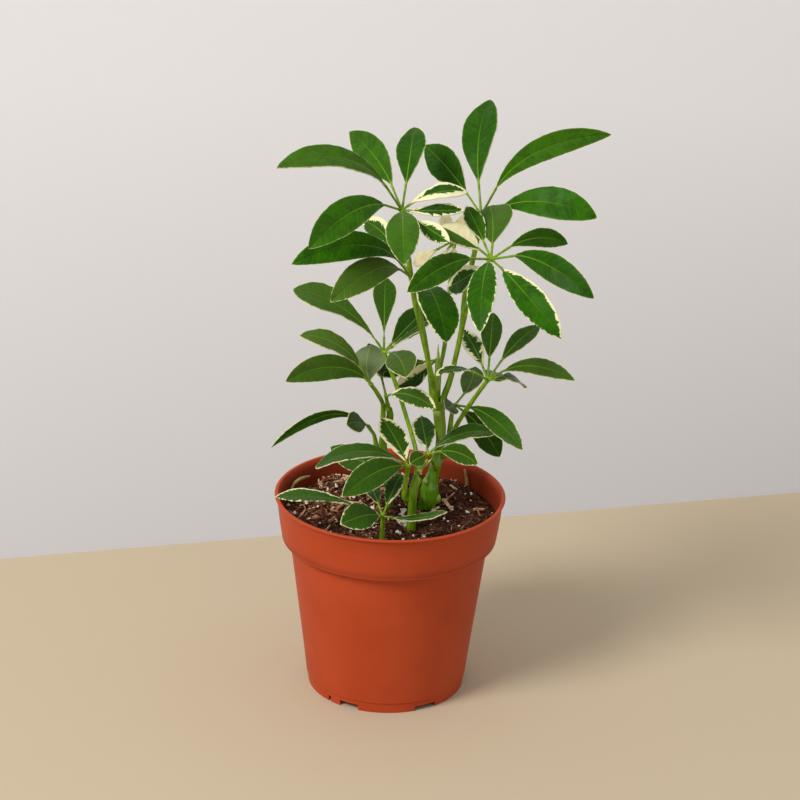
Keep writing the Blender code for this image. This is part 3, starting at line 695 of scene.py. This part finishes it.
def blade(bm, hub, axes, spec, seed):
    """One leaflet: its small stalk, and a folded blade that bends along its length and has a wavy margin."""
    turn, lift, stalk, length, width, droop, roll, sway, mark, deep, pale, *more = spec
    late = more[0] if more else USUAL_WIDEST
    axis, first, second = axes

    def heading(share):
        way = radians(turn + sway * share)
        slope = radians(lift - droop * share)
        out = first * cos(way) + second * sin(way)
        ahead = out * cos(slope) + axis * sin(slope)
        return ahead, Matrix.Rotation(radians(roll), 3, ahead) @ axis.cross(out)

    foot = hub + heading(0)[0] * stalk
    here = foot.copy()
    stations = [(here.copy(), *heading(0))]
    for step in range(BLADE_STEPS):
        ahead, across = heading((step + 0.5) / BLADE_STEPS)
        here += ahead * (length / BLADE_STEPS)
        stations.append((here.copy(), ahead, across))

    shape = bm.verts.layers.float_vector["blade"]
    marks = bm.verts.layers.float_vector["mark"]
    tones = bm.verts.layers.float_vector["tone"]
    rounds = 2 * BLADE_SIDES + 2
    phase = seed * 17.0

    def measure(u, v):
        """How far along, how far across from -1 to 1, and whether it is the upper side."""
        index = round(v * rounds) % rounds
        upper = index <= BLADE_SIDES
        across = index if upper else rounds - 1 - index
        return round(u * BLADE_STEPS), 2 * across / BLADE_SIDES - 1, upper

    def half_width(share, side):
        nibble = 1 + 0.035 * noise.noise(Vector((share * length * 0.35, side * 3.0, phase)))
        return max(0.12, blade_width(share, late) * width / 2) * nibble

    def place(u, v):
        k, across, upper = measure(u, v)
        share = k / BLADE_STEPS
        centre, ahead, side = stations[k]
        up = ahead.cross(side)
        half = half_width(share, 1 if across > 0 else -1)
        off = abs(across)
        rise = half * (BLADE_FOLD * off - 0.06 * off**3)
        rise += 0.045 * width * off**2 * noise.noise(Vector((share * 4.5, 2.0 * across, phase + 5.0)))
        rise += 0.10 * off * sin(share * length * 1.15 + (0.0 if across > 0 else 1.7) + phase)
        if not upper:
            rise -= BLADE_THICKNESS + 0.4 * max(0.0, 1 - off * 5) * min(1.0, 4 * (1 - share))
        return centre + side * (half * across) + up * rise

    def record(vert, u, v):
        k, across, _ = measure(u, v)
        half = half_width(k / BLADE_STEPS, 1 if across > 0 else -1)
        reach = length * k / BLADE_STEPS
        vert[shape] = (reach, half * across, min(half * (1 - abs(across)), (length - reach) * 0.7))
        vert[marks] = MARKS[mark]
        vert[tones] = (deep, pale, seed)

    def paint(v):
        return TOP if v < (BLADE_SIDES + 0.9) / rounds else UNDER

    skin(bm, BLADE_STEPS, rounds, place, paint, record)
    ahead = heading(0)[0]
    past_foot = 1.0 + 2.5 / max(stalk, 2.5)
    reach = [(0.0, 0.9), (0.12, 0.62), (0.5, 0.52), (0.85, 0.55), (1.0, 0.62), (past_foot, 0.3)]
    rod(bm, [(*(hub + ahead * (stalk * share)), radius) for share, radius in reach], 8, STALK)


def beside(stem, height, heading, radius):
    """A point at a stem's side."""
    points = STEMS[stem]
    for (x0, y0, z0, r0), (x1, y1, z1, r1) in zip(points, points[1:]):
        if z0 <= height <= z1:
            share = (height - z0) / (z1 - z0)
            reach = r0 + (r1 - r0) * share + radius + STALK_GAP
            out = Vector((cos(radians(heading)), sin(radians(heading)), 0.0))
            return Vector((x0 + (x1 - x0) * share, y0 + (y1 - y0) * share, height)), out, reach
    raise ValueError(f"{stem} has no bark at height {height}")


def make_leaf(name, leaf, number):
    """A leaf: its long stalk from the stem, the hub, and the ring of leaflets."""
    bm = bmesh.new()
    for layer in ("blade", "mark", "tone"):
        bm.verts.layers.float_vector.new(layer)
    radius = leaf["stalk"]
    origin = leaf["from"]
    hub = Vector(leaf["hub"])
    route = [(x, y, z, radius) for x, y, z in leaf["route"]]
    if isinstance(origin[0], str):
        centre, out, reach = beside(*origin, radius)
        sheath = centre + out * (reach - radius - STALK_GAP) - Vector((0, 0, 2.0))
        start = [(*sheath, radius * 1.1), (*(centre + out * reach), radius * 1.35)]
    else:
        start = [(*(Vector(origin) - Vector((0, 0, 2.5))), radius * 1.3), (*origin, radius * 1.25)]
    ahead = (hub - Vector(route[-1][:3])).normalized()
    end = [(*(hub - ahead * 2.2), radius * 0.95), (*hub, radius * 1.1)]
    rod(bm, smooth_path(start + route + end, 6), 14, STALK, knobs=0.08, seed=number)
    knob(bm, hub, radius * 1.25, STALK, squash=0.8)
    axes = leaf_axes(*leaf["lean"])
    for index, spec in enumerate(leaf["leaflets"]):
        blade(bm, hub, axes, spec, (number * 0.37 + index * 0.61803) % 1.0)
    bmesh.ops.recalc_face_normals(bm, faces=bm.faces)
    cream = "cream" in name
    finished(bm, name + "_foliage", GREENS["top"], GREENS["under"], GREENS["stalk"],
             node=name, slot="leaf_cream" if cream else "leaf_green")


# ---------------------------------------------------------------- stems and shoots


def make_stems():
    for index, (name, points) in enumerate(STEMS.items()):
        bm = bmesh.new()
        rod(bm, smooth_path(points, 7), 24, 0, knobs=0.16, seed=index * 3.0)
        if name == "main_stem":
            for x, y, z, radius in SWELLINGS:
                knob(bm, Vector((x, y, z)), radius, 1, squash=1.35)
        bmesh.ops.recalc_face_normals(bm, faces=bm.faces)
        skin_paint = GREENS["bulb" if name == "main_stem" else "bark"]
        finished(bm, name + "_bark", skin_paint, GREENS["scar"], node=name, slot="stem_green")


def make_shoots():
    for name, (base, spikes) in SHOOTS.items():
        bm = bmesh.new()
        knob(bm, Vector(base), 1.3, 0)
        for heading, lean, length, width in spikes:
            way, tip = radians(heading), radians(lean)
            ahead = Vector((sin(tip) * cos(way), sin(tip) * sin(way), cos(tip)))
            reach = [(0.0, 0.6), (0.2, 0.9), (0.5, 1.0), (0.8, 0.6), (1.0, 0.1)]
            spike = [(*(Vector(base) + ahead * (length * share)), width / 2 * size) for share, size in reach]
            rod(bm, spike, 8, 0)
        bmesh.ops.recalc_face_normals(bm, faces=bm.faces)
        finished(bm, name + "_tips", GREENS["young"], node=name, slot="young_green")


# ---------------------------------------------------------------- pot


def inner_radius(height):
    """The pot's inner radius at a height."""
    for (r_high, high), (r_low, low) in zip(POT_INSIDE, POT_INSIDE[1:]):
        if low <= height <= high:
            return r_low + (r_high - r_low) * (height - low) / (high - low)
    return POT_INSIDE[0][0]


def cutter(bm, heading):
    """A helper solid turned to a heading, as an object that only cuts."""
    bmesh.ops.rotate(bm, matrix=Matrix.Rotation(radians(heading), 3, "Z"), verts=bm.verts)
    return placed(bm, "cutter", scale=MM)


def make_pot():
    """The pot: its profile spun round, then the notches and drain holes cut."""
    foot_inside = POT_OUTSIDE[-1][0] - FOOT_WIDTH
    inside = [(0.0, FLOOR_TOP)] + POT_INSIDE[::-1]
    foot = [(foot_inside, 0.0), (foot_inside, FLOOR_LOW), (PAD_RADIUS, FLOOR_LOW), (PAD_RADIUS, 0.0),
            (0.0, 0.0)]
    bm = bmesh.new()
    verts = [bm.verts.new((r, 0, z)) for r, z in inside + POT_OUTSIDE + foot]
    edges = [bm.edges.new(pair) for pair in zip(verts, verts[1:])]
    bmesh.ops.spin(bm, geom=verts + edges, cent=(0, 0, 0), axis=(0, 0, 1), angle=2 * pi, steps=POT_SIDES,
                   use_merge=True)
    bmesh.ops.remove_doubles(bm, verts=bm.verts, dist=0.001)
    bmesh.ops.recalc_face_normals(bm, faces=bm.faces)
    pot = finished(bm, "pot_shell", plastic_paint(), node="pot", slot="terracotta_plastic", sharp=40)
    cutters = []
    for heading, width, height in NOTCHES:
        block = bmesh.new()
        bmesh.ops.create_cube(block, size=1.0)
        bmesh.ops.scale(block, vec=Vector((6.0, width, height * 2)), verts=block.verts)
        bmesh.ops.translate(block, vec=Vector((POT_OUTSIDE[-1][0], 0, 0)), verts=block.verts)
        cutters.append(cutter(block, heading))
        if width > 5:
            drill = bmesh.new()
            bmesh.ops.create_cone(drill, cap_ends=True, segments=24, radius1=DRAIN_RADIUS,
                                  radius2=DRAIN_RADIUS, depth=6.0)
            bmesh.ops.translate(drill, vec=Vector((DRAIN_CIRCLE, 0, FLOOR_LOW)), verts=drill.verts)
            cutters.append(cutter(drill, heading))
    for body in cutters:
        cut = pot.modifiers.new("cut", "BOOLEAN")
        cut.operation = "DIFFERENCE"
        cut.object = body
    whole = bpy.data.meshes.new_from_object(pot.evaluated_get(bpy.context.evaluated_depsgraph_get()))
    pot.modifiers.clear()
    pot.data = whole
    for body in cutters:
        bpy.data.objects.remove(body)


# ---------------------------------------------------------------- soil


def soil_height(x, y):
    """The height of the soil's surface: a flat edge, low swells and fine lumps."""
    height = SOIL_EDGE
    for cx, cy, spread, rise in SOIL_SWELLS:
        distance = ((x - cx) ** 2 + (y - cy) ** 2) / spread**2
        height += rise * max(0.0, 1 - distance) ** 2
    return height + 0.5 * sin(x * 0.45) * cos(y * 0.5)


def crumbs(x, y):
    """Crumbs and hollows on top of the soil's broad shape."""
    spot = Vector((x, y, 0.0))
    return 1.1 * noise.noise(spot * 0.28) + 0.7 * noise.noise(spot * 0.7) - 0.6


def make_soil():
    levels = [FLOOR_TOP + 0.3, 18.5, 40.4, 60, 71.5, 74.4, 76.3, 81, SOIL_EDGE - 0.8]
    wall = [(inner_radius(z) - 0.6, z) for z in levels]
    surface = [(wall[-1][0] * (1 - k / SOIL_RINGS), None) for k in range(1, SOIL_RINGS + 1)]
    rings = [(0, levels[0])] + wall + surface

    def place(u, v):
        radius, z = rings[round(u * (len(rings) - 1))]
        x, y = radius * cos(2 * pi * v), radius * sin(2 * pi * v)
        return Vector((x, y, soil_height(x, y) + crumbs(x, y) if z is None else z))

    bm = bmesh.new()
    skin(bm, len(rings) - 1, SOIL_SIDES, place)
    bmesh.ops.recalc_face_normals(bm, faces=bm.faces)
    finished(bm, "peat", soil_paint(), node="soil", slot="potting_soil", sharp=80)


def stem_clear(x, y, gap):
    return all(sqrt((x - p[1][0]) ** 2 + (y - p[1][1]) ** 2) > p[1][3] + gap for p in STEMS.values())


def scatter(count, rng, gap, edge):
    """Random places on the soil, clear of the stems and of the pot's wall."""
    while count:
        radius = (inner_radius(SOIL_EDGE) - edge) * sqrt(rng.random())
        angle = 2 * pi * rng.random()
        x, y = radius * cos(angle), radius * sin(angle)
        if stem_clear(x, y, gap):
            count -= 1
            yield x, y


def coarse_share(x, y):
    """How coarse and pale the bark is at a place: most at the back left, least at the right."""
    return max(0.0, min(1.0, (y - 0.75 * x + 4) / 42))


def strew(whole, bm):
    """Adds a handful of chips to the others, and starts an empty handful."""
    handful = bpy.data.meshes.new("handful")
    bm.to_mesh(handful)
    whole.from_mesh(handful)
    bpy.data.meshes.remove(handful)
    bm.clear()


def chip_at(bm, layer, x, y, rng, short, long, tan, raised):
    """One chip: a short ragged prism with its own slope, bend and shade."""
    coarse = coarse_share(x, y)
    length = rng.uniform(short, long)
    width = length * rng.uniform(0.14, 0.34) * (1 + 0.5 * coarse)
    thick = width * rng.uniform(0.35, 0.8)
    shade = min(1.0, rng.betavariate(1.0, 1.9) + tan * rng.random() + 0.35 * coarse * rng.random())
    lie = Matrix.Rotation(rng.uniform(0, 2 * pi), 3, "Z")
    lie = lie @ Matrix.Rotation(rng.gauss(0, 0.42), 3, "Y") @ Matrix.Rotation(rng.uniform(0, pi), 3, "X")
    centre = Vector((x, y, soil_height(x, y) + crumbs(x, y) + rng.random() * thick + rng.random() * raised))
    bend = rng.uniform(-0.12, 0.12) * length
    seed = rng.random() * 10
    prism = bmesh.ops.create_cone(bm, cap_ends=True, segments=5, radius1=1.0, radius2=0.8, depth=2.0)
    for vert in prism["verts"]:
        spot = vert.co
        ragged = rng.uniform(0.55, 1.2)
        vert[layer] = (shade, length * 0.2 * (spot.z + 1) + ragged, seed)
        vert.co = centre + lie @ Vector((length / 2 * spot.z * rng.uniform(0.75, 1.1),
                                         width / 2 * spot.x * ragged,
                                         thick / 2 * spot.y * ragged + bend * spot.z))


def make_chips():
    """Bark chips and shreds strewn over the peat, with the coarse ones mostly where the bark is coarse."""
    rng = random.Random(CHIP_SEED)
    whole, bm = bmesh.new(), bmesh.new()
    whole.verts.layers.float_vector.new("chip")
    for count, short, long, tan, raised in CHIP_SIZES:
        for number, (x, y) in enumerate(scatter(count, rng, 0.5, 0.55 * long + 0.7)):
            if short < 2.5 or rng.random() < 0.2 + 0.8 * coarse_share(x, y):
                layers = bm.verts.layers.float_vector
                layer = layers.get("chip") or layers.new("chip")
                chip_at(bm, layer, x, y, rng, short, long, tan, raised)
            if number % HANDFUL == HANDFUL - 1 or number == count - 1:
                strew(whole, bm)
    bm.free()
    bmesh.ops.recalc_face_normals(whole, faces=whole.faces)
    finished(whole, "bark_chips", chip_paint(), slot="potting_soil", sharp=28)


def make_twigs():
    """Two dry stalks that lean on the wall."""
    bm = bmesh.new()
    for points in TWIGS:
        rod(bm, smooth_path(points, 6), 8, 0, knobs=0.2, seed=points[0][0])
    bmesh.ops.recalc_face_normals(bm, faces=bm.faces)
    dry = stalk_paint("dry_stalk_skin", (0.22, 0.15, 0.05, 1), (0.46, 0.34, 0.16, 1), 0.8, 700.0, 0.1)
    finished(bm, "dry_stalks", dry, slot="potting_soil")


def make_perlite():
    rng = random.Random(PERLITE_SEED)
    bm = bmesh.new()
    places = [(x, y, rng.choice(SMALL_RADII)) for x, y in scatter(SMALL_PERLITE, rng, 0.8, 2.0)]
    for x, y, size in places + PERLITE:
        centre = Vector((x, y, soil_height(x, y) + crumbs(x, y) + size * 0.8 + 0.6))
        grain = bmesh.ops.create_icosphere(bm, subdivisions=2, radius=size)["verts"]
        offset = rng.random() * 50
        longer = rng.uniform(0.7, 1.4)
        for vert in grain:
            rough = 1 + 0.9 * noise.cell(vert.co * (0.9 / size) + Vector((offset, 0, 0))) - 0.3
            vert.co = centre + Vector((vert.co.x * longer, vert.co.y, vert.co.z * 0.8)) * rough
    finished(bm, "perlite", perlite_paint(), slot="potting_soil", sharp=25)


# ---------------------------------------------------------------- stage, light and camera


def slab(name, corners, depth, material):
    """A flat slab under four corners, which are given anticlockwise from above."""
    bm = bmesh.new()
    top = bm.faces.new([bm.verts.new(corner) for corner in corners])
    under = bmesh.ops.extrude_face_region(bm, geom=[top])["geom"]
    moved = [item for item in under if isinstance(item, bmesh.types.BMVert)]
    bmesh.ops.translate(bm, vec=Vector((0, 0, -depth)), verts=moved)
    bmesh.ops.recalc_face_normals(bm, faces=bm.faces)
    placed(bm, name, material)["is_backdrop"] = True


def make_stage():
    """A pale table whose far edge slants behind the pot, and a pale wall and floor behind and below it, with
    painted shade low down and to the right.
    """
    reach, near, low, far = 3.0, -2.5, -0.75, 1.6
    edge_middle, slant = 0.172, 0.265
    table = stage_paint("table_finish", (0.525, 0.435, 0.31, 1), 0.04)
    pale = stage_paint("wall_finish", (0.915, 0.895, 0.885, 1), 0.02, painted_shade=0.40)
    left, right = edge_middle - slant * reach, edge_middle + slant * reach
    slab("table", [(-reach, near, 0), (reach, near, 0), (reach, right, 0), (-reach, left, 0)], 0.03, table)
    slab("floor", [(-reach, near, low), (reach, near, low), (reach, far, low), (-reach, far, low)],
         0.02, pale)
    top, back = 2.5, far + 0.02
    slab("backdrop", [(-reach, far, top), (reach, far, top), (reach, back, top), (-reach, back, top)],
         top - low, pale)


def area_light(name, place, target, size, power, colour):
    lamp = bpy.data.lights.new(name, "AREA")
    lamp.shape = "DISK"
    lamp.size = size
    lamp.energy = power
    lamp.color = colour
    body = bpy.data.objects.new(name, lamp)
    body.location = place
    body.rotation_euler = (Vector(place) - Vector(target)).to_track_quat("Z", "Y").to_euler()
    bpy.context.scene.collection.objects.link(body)


def make_light():
    area_light("key", KEY_PLACE, KEY_TARGET, 1.0, KEY_POWER, (1.0, 0.97, 0.93))
    world = bpy.data.worlds.new("studio")
    world.use_nodes = True
    background = world.node_tree.nodes["Background"]
    background.inputs["Color"].default_value = (1.0, 0.985, 0.97, 1)
    background.inputs["Strength"].default_value = 0.65
    bpy.context.scene.world = world
    bpy.context.scene.view_settings.view_transform = "Standard"


def make_camera():
    """The camera looks down a little on the plant, and leans by a degree or two."""
    lens = bpy.data.cameras.new("camera")
    lens.lens = LENS
    lens.sensor_width = 36.0
    pitch, lean = radians(CAMERA_PITCH), radians(CAMERA_LEAN)
    ahead = Vector((0, cos(pitch), -sin(pitch)))
    level = Vector((1, 0, 0))
    above = level.cross(ahead)
    right = level * cos(lean) + above * sin(lean)
    up = above * cos(lean) - level * sin(lean)
    body = bpy.data.objects.new("camera", lens)
    place = Matrix((right, up, -ahead)).transposed().to_4x4()
    place.translation = Vector(CAMERA_PLACE)
    body.matrix_world = place
    bpy.context.scene.collection.objects.link(body)
    bpy.context.scene.camera = body


make_camera()
make_light()
make_stage()
make_pot()
make_soil()
make_chips()
make_twigs()
make_perlite()
make_stems()
make_shoots()
for number, (leaf_name, leaf) in enumerate(LEAVES.items()):
    make_leaf(leaf_name, leaf, number)

boxes = {"cad": CAD_BOX, "visual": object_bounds()}
{name: [list(corner) for corner in box] for name, box in boxes.items()}
